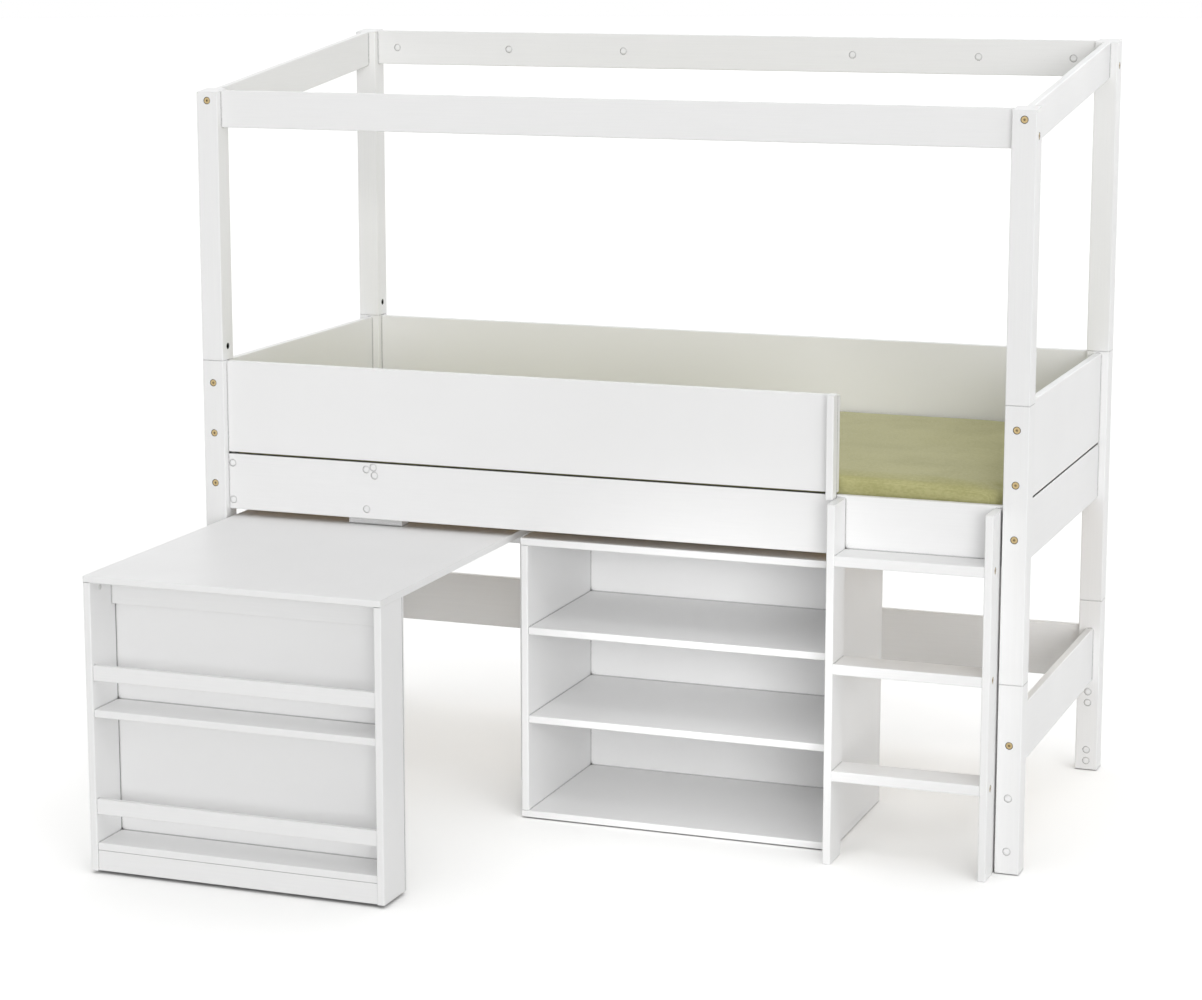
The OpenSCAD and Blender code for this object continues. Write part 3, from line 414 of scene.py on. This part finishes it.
def moulded(name, base, roughness, dome=1 * MM):
    """Injection-moulded plastic: an even colour with a fine spark-eroded texture, and edges
    that round off over the dome's width. Shade along the edges, as in the gap round a cap,
    is painted in as a fine darker line, drawn wider than it is."""
    material, output = new_material(name)
    tree = material.node_tree
    pits = add(tree, "ShaderNodeTexNoise", {"Vector": stretched(tree, PIT_SIZE),
                                            "Scale": 1.0, "Detail": 2.0}).outputs["Fac"]
    dull = [c * 0.94 for c in base[:3]] + [1.0]
    edge = add(tree, "ShaderNodeBevel", {"Radius": dome}, samples=8).outputs["Normal"]
    relief = add(tree, "ShaderNodeBump", {"Height": pits, "Normal": edge, "Strength": 0.3,
                                          "Distance": 0.04 * MM})
    dust_and_rim_shade = [c * 0.88 for c in base[:3]] + [1.0]
    plastic = add(tree, "ShaderNodeMix", {"Factor": pits, MIX_A: base, MIX_B: dull},
                  data_type="RGBA").outputs[MIX_OUT]
    # Painted shade along the edges, as in the gap round a cap
    plastic = add(tree, "ShaderNodeMix", {"Factor": rim_shade_mask(tree, 2 * MM), MIX_A: plastic,
                                          MIX_B: dust_and_rim_shade}, data_type="RGBA").outputs[MIX_OUT]
    dulled = add(tree, "ShaderNodeMapRange", {
        "Value": pits, "From Min": 0.3, "From Max": 0.7, "To Min": roughness - 0.05,
        "To Max": roughness + 0.05}).outputs[0]
    shader = add(tree, "ShaderNodeBsdfPrincipled", {
        "Base Color": plastic, "Roughness": dulled, "IOR": 1.49,
        "Normal": relief.outputs["Normal"]})
    tree.links.new(shader.outputs["BSDF"], output.inputs["Surface"])
    return material


def castor_wheel(name, wheel):
    """A soft rubber tyre on a moulded nylon hub: dark and dull outside, paler and smoother
    within, told apart by the distance from the axle."""
    look = bpy.context.scene.cabin_hardware
    low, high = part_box(wheel)
    centre = (low + high) / 2
    material, output = new_material(name)
    tree = material.node_tree
    place = add(tree, "ShaderNodeTexCoord").outputs["Object"]
    arm = add(tree, "ShaderNodeVectorMath", {0: place, 1: centre}, operation="SUBTRACT")
    flat = add(tree, "ShaderNodeVectorMath", {0: arm.outputs[0], 1: (0, 1, 1)},
               operation="MULTIPLY")
    away = add(tree, "ShaderNodeVectorMath", {0: flat.outputs[0]}, operation="LENGTH")
    tyre = add(tree, "ShaderNodeMapRange", {
        "Value": away.outputs["Value"], "From Min": look.hub_r - 0.2 * MM,
        "From Max": look.hub_r + 0.2 * MM}).outputs[0]
    dust = add(tree, "ShaderNodeTexNoise", {"Vector": stretched(tree, DUST_SIZE),
                                            "Scale": 1.0, "Detail": 3.0}).outputs["Fac"]
    worn = [c * 1.5 for c in look.rubber[:3]] + [1.0]
    dust_and_rim_shade = add(tree, "ShaderNodeMapRange", {"Value": dust, "From Min": 0.4, "From Max": 0.7,
                                             "To Max": 0.7}).outputs[0]
    rubber = add(tree, "ShaderNodeMix", {"Factor": dust_and_rim_shade, MIX_A: look.rubber, MIX_B: worn},
                 data_type="RGBA").outputs[MIX_OUT]
    wheel_colour = add(tree, "ShaderNodeMix", {"Factor": tyre, MIX_A: look.hub, MIX_B: rubber},
                       data_type="RGBA").outputs[MIX_OUT]
    dull = add(tree, "ShaderNodeMapRange", {"Value": tyre, "To Min": 0.4,
                                            "To Max": 0.75}).outputs[0]
    shader = add(tree, "ShaderNodeBsdfPrincipled", {
        "Base Color": wheel_colour, "Roughness": dull, "IOR": 1.5})
    tree.links.new(shader.outputs["BSDF"], output.inputs["Surface"])
    return material


def cotton_cover(name):
    """A woven cotton mattress cover: crossing threads, slubs along them and a soft fuzz that
    lightens it at a glancing angle. The threads are drawn coarser than real ones, so that
    they show."""
    look = bpy.context.scene.cabin_mattress
    material, output = new_material(name)
    tree = material.node_tree
    place = stretched(tree, look.thread)
    warp = add(tree, "ShaderNodeTexWave", {"Vector": place, "Scale": 0.314, "Distortion": 0.6,
                                           "Detail": 1.0}, bands_direction="X").outputs["Fac"]
    weft = add(tree, "ShaderNodeTexWave", {"Vector": place, "Scale": 0.314, "Distortion": 0.6,
                                           "Detail": 1.0}, bands_direction="Y").outputs["Fac"]
    height = add(tree, "ShaderNodeMath", {0: warp, 1: weft}, operation="MAXIMUM").outputs[0]
    slub = add(tree, "ShaderNodeTexNoise", {
        "Vector": stretched(tree, look.slub, 0, 2), "Scale": 1.0, "Detail": 3.0}).outputs["Fac"]
    cloud = add(tree, "ShaderNodeTexNoise", {
        "Vector": stretched(tree, look.cloud), "Scale": 1.0, "Detail": 2.0}).outputs["Fac"]
    gaps = add(tree, "ShaderNodeMapRange", {"Value": height, "From Min": 0.2, "To Min": 0.6,
                                            "To Max": 0.0}).outputs[0]
    knotty = add(tree, "ShaderNodeMapRange", {"Value": slub, "From Min": 0.35, "From Max": 0.65,
                                              "To Min": -0.2, "To Max": 0.4}).outputs[0]
    uneven = add(tree, "ShaderNodeMapRange", {"Value": cloud, "From Min": 0.3, "From Max": 0.7,
                                              "To Min": -0.2, "To Max": 0.3}).outputs[0]
    tone = add(tree, "ShaderNodeMath", {0: gaps, 1: knotty}, operation="ADD").outputs[0]
    tone = add(tree, "ShaderNodeMath", {0: tone, 1: uneven}, operation="ADD",
               use_clamp=True).outputs[0]
    cloth = add(tree, "ShaderNodeMix", {"Factor": tone, MIX_A: look.cover, MIX_B: look.shade},
                data_type="RGBA").outputs[MIX_OUT]
    weave = add(tree, "ShaderNodeBump", {"Height": height, "Strength": 0.35,
                                         "Distance": 0.25 * MM})
    knots = add(tree, "ShaderNodeBump", {"Height": slub, "Strength": 0.4,
                                         "Distance": 0.6 * MM,
                                         "Normal": weave.outputs["Normal"]})
    shader = add(tree, "ShaderNodeBsdfPrincipled", {
        "Base Color": cloth, "Roughness": 0.9, "Sheen Weight": 0.35, "Sheen Roughness": 0.4,
        "Sheen Tint": linear("f4f4ee"), "Specular IOR Level": 0.2,
        "Normal": knots.outputs["Normal"]})
    tree.links.new(shader.outputs["BSDF"], output.inputs["Surface"])
    return material


def coat(material, *names):
    """Gives CAD nodes one material in all their slots."""
    for name in names:
        slots = NODES[name].data.materials
        slots.clear()
        slots.append(material)


# ---- the mattress ----

def smooth(value, low, high):
    t = min(max((value - low) / (high - low), 0), 1)
    return t * t * (3 - 2 * t)


def corner_droop(x, y, half_l, half_w, look):
    """How far the cover hangs below its edge height near the corners."""
    along, across = max(half_l - abs(x), 0), max(half_w - abs(y), 0)
    return look.droop * math.exp(-along / DROOP_ALONG - across / DROOP_ACROSS)


def top_lift(x, y, half_l, half_w, look):
    """Height of the mattress's top above its edge height: a crown, slight unevenness, and
    corners that hang a little."""
    crown = look.crown * (1 - (x / half_l) ** 2) * (1 - (y / half_w) ** 2)
    uneven = UNEVEN * noise.noise(Vector((x * 3, y * 4, 3.0)))
    return crown + uneven - corner_droop(x, y, half_l, half_w, look)


def mattress_outline(half_l, half_w, radius, inset, waist, steps=16, sides=(60, 28)):
    """Points round the mattress at one level, drawn in by inset and, along its sides, by
    waist."""
    points = []
    centres = [(half_l - radius, half_w - radius), (radius - half_l, half_w - radius),
               (radius - half_l, radius - half_w), (half_l - radius, radius - half_w)]
    reach = radius - inset
    for k, centre in enumerate(centres):
        for i in range(steps + 1):
            turn = math.radians(90) * (k + i / steps)
            points.append((centre[0] + reach * math.cos(turn),
                           centre[1] + reach * math.sin(turn)))
        ahead = centres[(k + 1) % 4]
        out = math.radians(90) * (k + 1)
        count = sides[k % 2]
        for i in range(1, count):
            t = i / count
            push = reach - waist * math.sin(math.pi * t) ** 0.7
            points.append((centre[0] + (ahead[0] - centre[0]) * t + push * math.cos(out),
                           centre[1] + (ahead[1] - centre[1]) * t + push * math.sin(out)))
    return points


def mattress_mesh(look):
    """The mattress's closed form: levels up its sides, rings over its crowned top."""
    low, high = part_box("mattress")
    centre = (low + high) / 2
    half_l, half_w = (high.x - low.x) / 2, (high.y - low.y) / 2
    thick = high.z - low.z - CAD_CROWN
    levels = []
    for a in (0, 30, 60, 90):
        turn = math.radians(a)
        levels.append((look.foot * (1 - math.cos(turn)), look.foot * (1 - math.sin(turn)), 0))
    for share in (0.25, 0.5, 0.7):
        levels.append((look.foot + (thick - look.foot - look.roll) * share, 0, look.waist))
    for a in range(0, 91, 15):
        turn = math.radians(a)
        levels.append((thick - look.roll * (1 - math.sin(turn)),
                       look.roll * (1 - math.cos(turn)), 0))
    mesh = bmesh.new()
    rings = []
    for z, inset, waist in levels:
        ring = []
        for x, y in mattress_outline(half_l, half_w, CORNER, inset, waist):
            share = smooth(z, thick * 0.5, thick)
            lift = share * top_lift(x, y, half_l, half_w, look)
            ring.append(mesh.verts.new((centre.x + x, centre.y + y, low.z + z + lift)))
        rings.append(ring)
    rim = mattress_outline(half_l, half_w, CORNER, look.roll, 0)
    for share in (0.97, 0.93, 0.88, 0.82, 0.75, 0.67, 0.58, 0.48, 0.37, 0.25, 0.12):
        ring = []
        for x, y in rim:
            u, v = x * share, y * share
            lift = top_lift(u, v, half_l, half_w, look)
            ring.append(mesh.verts.new((centre.x + u, centre.y + v, low.z + thick + lift)))
        rings.append(ring)
    for lower, upper in zip(rings, rings[1:]):
        count = len(lower)
        for i in range(count):
            mesh.faces.new((lower[i], lower[(i + 1) % count], upper[(i + 1) % count], upper[i]))
    mesh.faces.new(list(reversed(rings[0])))
    mesh.faces.new(rings[-1])
    data = bpy.data.meshes.new("mattress_cover")
    mesh.to_mesh(data)
    mesh.free()
    return data


def use_modifier(piece, kind, **settings):
    """Adds a modifier and applies it to the piece's mesh."""
    modifier = piece.modifiers.new(kind.title(), kind)
    for name, value in settings.items():
        setattr(modifier, name, value)
    bake(piece)


def bake(piece):
    """Replaces the piece's mesh by what its modifiers make of it."""
    depsgraph = bpy.context.evaluated_depsgraph_get()
    data = bpy.data.meshes.new_from_object(piece.evaluated_get(depsgraph))
    old = piece.data
    piece.modifiers.clear()
    piece.data = data
    bpy.data.meshes.remove(old)


def puff_up(piece, look):
    """Lets the filling press on the cover: a short cloth simulation with its lower part
    pinned, in which no point moves further than the set puff."""
    low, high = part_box("mattress")
    start = [v.co.copy() for v in piece.data.vertices]
    pinned = piece.vertex_groups.new(name="resting")
    pinned.add([i for i, co in enumerate(start) if co.z < low.z + RESTING], 1.0, "REPLACE")
    cloth = piece.modifiers.new("Cover", "CLOTH")
    cloth.settings.vertex_group_mass = "resting"
    cloth.settings.use_pressure = True
    cloth.settings.uniform_pressure_force = 4
    cloth.settings.tension_stiffness = 12
    cloth.settings.compression_stiffness = 8
    cloth.settings.bending_stiffness = 1.5
    cloth.settings.effector_weights.gravity = 0
    cloth.point_cache.frame_start = 1
    cloth.point_cache.frame_end = look.frames
    scene = bpy.context.scene
    for number in range(1, look.frames + 1):
        scene.frame_set(number)
    bake(piece)
    scene.frame_set(1)
    for vertex, before in zip(piece.data.vertices, start):
        move = vertex.co - before
        if move.length > look.puff:
            vertex.co = before + move * (look.puff / move.length)


def keep_inside(piece):
    """Holds the cover inside the space between the boards: no point leaves the outline of
    the CAD mattress, or sinks below its seat."""
    low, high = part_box("mattress")
    radius = HELD_CORNER
    for vertex in piece.data.vertices:
        co = vertex.co
        co.x = min(max(co.x, low.x), high.x)
        co.y = min(max(co.y, low.y), high.y)
        co.z = max(co.z, low.z)
        centre = Vector((min(max(co.x, low.x + radius), high.x - radius),
                         min(max(co.y, low.y + radius), high.y - radius)))
        arm = Vector((co.x, co.y)) - centre
        if arm.length > radius:
            arm *= radius / arm.length
            co.x, co.y = centre.x + arm.x, centre.y + arm.y


# ---- turned fittings ----

def turned(name, profile, radius, height, places):
    """Turned forms in one mesh, one at each place: a profile from the recess for the key
    outwards and down to the foot, as shares of the radius and the height."""
    steps = 42
    mesh = bmesh.new()
    for place in places:
        rings = []
        for share, rise in profile:
            ring = []
            for i in range(steps):
                turn = math.tau * i / steps
                point = Vector((share * radius * math.cos(turn),
                                share * radius * math.sin(turn), rise * height))
                ring.append(mesh.verts.new(place @ point))
            rings.append(ring)
        for inner, outer in zip(rings, rings[1:]):
            for i in range(steps):
                k = (i + 1) % steps
                mesh.faces.new((inner[i], outer[i], outer[k], inner[k]))
        mesh.faces.new(rings[0])
        mesh.faces.new(list(reversed(rings[-1])))
    data = bpy.data.meshes.new(name)
    mesh.to_mesh(data)
    mesh.free()
    for face in data.polygons:
        face.use_smooth = len(face.vertices) == 4
    piece = bpy.data.objects.new(name, data)
    bpy.context.scene.collection.objects.link(piece)
    return piece


def facing(x, y, z, side):
    """A place at a point whose outward direction is +X for side 1, or -X for side -1."""
    return Matrix.Translation((x, y, z)) @ Matrix.Rotation(side * math.radians(90), 4, "Y")


# ---- operators ----

class DressOperator:
    """What the operators share."""
    bl_options = {"REGISTER"}


class CABIN_OT_stage(DressOperator, bpy.types.Operator):
    """Sets up the floor, the background, the lights and the camera"""
    bl_idname = "cabin.stage"
    bl_label = "Set up the studio"

    def execute(self, context):
        look = context.scene.cabin_stage
        self.floor(look)
        self.world(context, look)
        self.lamps(context, look)
        self.camera(context, look)
        context.scene.view_settings.view_transform = "Standard"
        return {"FINISHED"}

    def floor(self, look):
        """A pale matt floor. The camera and reflections see some glow in it, so that it reads
        as white. The glow fades beside the bed, which paints soft contact shadows. From below
        it isn't there."""
        mesh = bmesh.new()
        bmesh.ops.create_circle(mesh, cap_ends=True, segments=96, radius=FLOOR_RADIUS)
        data = bpy.data.meshes.new("studio_floor")
        mesh.to_mesh(data)
        mesh.free()
        floor = bpy.data.objects.new("studio_floor", data)
        bpy.context.scene.collection.objects.link(floor)
        floor.location.z = -FLOOR_GAP
        material, output = new_material("Matt studio floor, painted")
        tree = material.node_tree
        matt = add(tree, "ShaderNodeBsdfDiffuse", {"Color": look.floor})
        # Painted contact shadow: the glow fades where the bed is near
        near = add(tree, "ShaderNodeAmbientOcclusion", {"Distance": look.contact}, samples=8)
        glow_with_painted_shadow = add(tree, "ShaderNodeMapRange", {"Value": near.outputs["AO"],
                                                    "To Max": look.glow}).outputs[0]
        glow = add(tree, "ShaderNodeEmission", {"Color": (1, 1, 1, 1), "Strength": glow_with_painted_shadow})
        lit = add(tree, "ShaderNodeAddShader", {0: matt.outputs[0], 1: glow.outputs[0]})
        seen = add(tree, "ShaderNodeMixShader", {0: looked_at(tree), 1: matt.outputs[0],
                                                 2: lit.outputs[0]})
        below = add(tree, "ShaderNodeNewGeometry").outputs["Backfacing"]
        clear = add(tree, "ShaderNodeBsdfTransparent")
        shown = add(tree, "ShaderNodeMixShader", {0: below, 1: seen.outputs[0],
                                                  2: clear.outputs[0]})
        tree.links.new(shown.outputs[0], output.inputs["Surface"])
        data.materials.append(material)

    def world(self, context, look):
        """Plain white where the camera or a reflection looks past the object. The lamps alone
        light it."""
        world = bpy.data.worlds.new("Studio")
        world.use_nodes = True
        tree = world.node_tree
        tree.nodes.clear()
        light = add(tree, "ShaderNodeBackground", {"Strength": 0.0, "Color": (1, 1, 1, 1)})
        white = add(tree, "ShaderNodeBackground", {"Strength": 1.0, "Color": (1, 1, 1, 1)})
        mix = add(tree, "ShaderNodeMixShader", {0: looked_at(tree), 1: light.outputs[0],
                                                2: white.outputs[0]})
        output = add(tree, "ShaderNodeOutputWorld", {"Surface": mix.outputs[0]})
        output.is_active_output = True
        context.scene.world = world

    def lamps(self, context, look):
        """Soft light from several sides, as in a photographer's studio."""
        for name, (turn, height, spread, strength) in LAMPS.items():
            data = bpy.data.lights.new(f"Lamp {name}", "SUN")
            data.energy = strength * look.light
            data.angle = math.radians(spread)
            lamp = bpy.data.objects.new(data.name, data)
            context.scene.collection.objects.link(lamp)
            lamp.rotation_euler = Euler((math.radians(90 - height), 0, math.radians(turn)))
        for name, (place, target, power) in FILLS.items():
            data = bpy.data.lights.new(f"Fill {name}", "AREA")
            data.shape = "RECTANGLE"
            data.size, data.size_y = FILL_SIZE
            data.spread = math.radians(FILL_SPREAD)
            data.energy = power * look.light
            lamp = bpy.data.objects.new(data.name, data)
            context.scene.collection.objects.link(lamp)
            lamp.location = place
            toward = Vector(target) - Vector(place)
            lamp.rotation_euler = toward.to_track_quat("-Z", "Y").to_euler()

    def camera(self, context, look):
        data = bpy.data.cameras.new("Camera")
        data.sensor_width = 36
        data.lens = look.lens
        data.shift_y = look.shift
        data.clip_end = 200
        camera = bpy.data.objects.new("Camera", data)
        context.scene.collection.objects.link(camera)
        camera.location = look.place
        camera.rotation_euler = Euler((math.pi / 2 + look.pitch, 0, look.yaw))
        context.scene.camera = camera


class CABIN_OT_lacquer(DressOperator, bpy.types.Operator):
    """Lacquers the posts, rails, boards and thin backs"""
    bl_idname = "cabin.lacquer"
    bl_label = "Lacquer the boards"

    def execute(self, context):
        coat(lacquer("White lacquer on upright wood, sprayed", 2), *GRAIN_UP)
        coat(lacquer("White lacquer on the ladder's stiles, sprayed", 2, open_joints=True),
             *STILES)
        coat(lacquer("White lacquer on long wood, sprayed", 0), *GRAIN_ALONG)
        coat(lacquer("White lacquer on cross wood, sprayed", 1), *GRAIN_ACROSS)
        coat(lacquer("White lacquer on fibreboard, sprayed"), *FIBREBOARD, *THIN_BACKS)
        return {"FINISHED"}


class CABIN_OT_timber(DressOperator, bpy.types.Operator):
    """Finishes the slats, their ledgers and the dowels"""
    bl_idname = "cabin.timber"
    bl_label = "Plane the slats"

    def execute(self, context):
        coat(planed_pine("Pine slats, planed", 1), "slats")
        coat(planed_pine("Pine ledgers, planed", 0), "slat_ledgers", "dowels")
        return {"FINISHED"}


class CABIN_OT_hardware(DressOperator, bpy.types.Operator):
    """Finishes bolts, nuts, pins, caps, glides and castors"""
    bl_idname = "cabin.hardware"
    bl_label = "Plate the hardware"

    def execute(self, context):
        look = context.scene.cabin_hardware
        coat(plated("Steel bolts, yellow plated", look.brass, 0.34, 7 * MM), "frame_bolts")
        coat(plated("Steel fittings, zinc plated", look.zinc, 0.4, 14 * MM),
             "nuts_and_studs", "shelf_pins", "castor_forks")
        coat(moulded("Caps, moulded polypropylene", look.cap, 0.5, 6 * MM), "cover_caps")
        coat(moulded("Glides, moulded nylon", look.glide, 0.55), "floor_glides")
        for wheel in WHEELS:
            coat(castor_wheel(f"Castor {wheel}, rubber on nylon", wheel), wheel)
        return {"FINISHED"}


class CABIN_OT_mattress(DressOperator, bpy.types.Operator):
    """Makes the padded mattress in its cotton cover"""
    bl_idname = "cabin.mattress"
    bl_label = "Make the mattress"

    def execute(self, context):
        look = context.scene.cabin_mattress
        piece = bpy.data.objects.new("mattress_in_cover", mattress_mesh(look))
        context.scene.collection.objects.link(piece)
        use_modifier(piece, "REMESH", mode="VOXEL", voxel_size=look.cell)
        puff_up(piece, look)
        use_modifier(piece, "SMOOTH", factor=0.5, iterations=2)
        use_modifier(piece, "SUBSURF", levels=1)
        keep_inside(piece)
        for face in piece.data.polygons:
            face.use_smooth = True
        piece.data.materials.clear()
        piece.data.materials.append(cotton_cover("Mattress cover, woven cotton"))
        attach(piece, "bed")
        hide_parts("mattress")
        return {"FINISHED"}


class CABIN_OT_connectors(DressOperator, bpy.types.Operator):
    """Puts covers over the connectors inside the desk's rack, under the worktop"""
    bl_idname = "cabin.connectors"
    bl_label = "Cover the desk's connectors"

    def execute(self, context):
        look = context.scene.cabin_hardware
        places = []
        for side, inner in (("left", 1), ("right", 0)):
            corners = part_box(f"desk_side_{side}")
            places.append(facing(corners[inner].x, corners[0].y + look.cover_in,
                                 corners[1].z - look.cover_down, 1 if inner else -1))
        profile = [(0.3, 0.45), (0.34, 0.5), (0.38, 0.9), (0.46, 1.0), (0.72, 0.95),
                   (0.88, 0.8), (0.97, 0.45), (1.0, 0.0)]
        piece = turned("connector_covers", profile, look.cover_r, 2 * MM, places)
        piece.data.materials.append(
            moulded("Connector covers, moulded polypropylene", look.cover, 0.5))
        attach(piece, "desk")
        return {"FINISHED"}


class CABIN_OT_locks(DressOperator, bpy.types.Operator):
    """Puts the screws that lock the studs into the posts' holes, just below their faces"""
    bl_idname = "cabin.locks"
    bl_label = "Lock the posts"

    def execute(self, context):
        look = context.scene.cabin_hardware
        places = []
        for kind in ("post", "canopy_post"):
            for row in ("front", "back"):
                for side, inner in (("left", 1), ("right", 0)):
                    low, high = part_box(f"{kind}_{row}_{side}")
                    out = 1 if inner else -1
                    face = (low, high)[inner].x - out * look.lock_in
                    places.append(facing(face, (low.y + high.y) / 2, low.z + look.lock_up, out))
        profile = [(0.4, -0.6), (0.42, 0.85), (0.5, 1.0), (0.9, 1.0), (1.0, 0.75), (1.0, -1.5)]
        piece = turned("lock_screws", profile, look.lock_r, 2 * MM, places)
        piece.data.materials.append(
            plated("Lock screws, black-oxide steel", look.oxide, 0.5, 7 * MM))
        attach(piece, "bed")
        return {"FINISHED"}


class CABIN_PT_panel(bpy.types.Panel):
    """Lists the steps that finish the bed"""
    bl_idname = "CABIN_PT_panel"
    bl_label = "Cabin bed"
    bl_space_type = "VIEW_3D"
    bl_region_type = "UI"
    bl_category = "Cabin bed"

    def draw(self, context):
        for step in STEPS:
            self.layout.operator(step.bl_idname)
        for name in SETTINGS:
            box = self.layout.box()
            for key in SETTINGS[name].__annotations__:
                box.prop(getattr(context.scene, name), key)


STEPS = (CABIN_OT_stage, CABIN_OT_lacquer, CABIN_OT_timber, CABIN_OT_hardware,
         CABIN_OT_locks, CABIN_OT_connectors, CABIN_OT_mattress)
SETTINGS = {
    "cabin_lacquer": LacquerSettings,
    "cabin_timber": TimberSettings,
    "cabin_hardware": HardwareSettings,
    "cabin_mattress": MattressSettings,
    "cabin_stage": StageSettings,
}


def register():
    for name, settings in SETTINGS.items():
        bpy.utils.register_class(settings)
        setattr(bpy.types.Scene, name, PointerProperty(type=settings))
    for cls in (*STEPS, CABIN_PT_panel):
        bpy.utils.register_class(cls)


def unregister():
    for cls in (CABIN_PT_panel, *reversed(STEPS)):
        bpy.utils.unregister_class(cls)
    for name, settings in reversed(SETTINGS.items()):
        delattr(bpy.types.Scene, name)
        bpy.utils.unregister_class(settings)


def main():
    register()
    for step in STEPS:
        group, name = step.bl_idname.split(".")
        getattr(getattr(bpy.ops, group), name)()


if __name__ == "__main__":
    main()
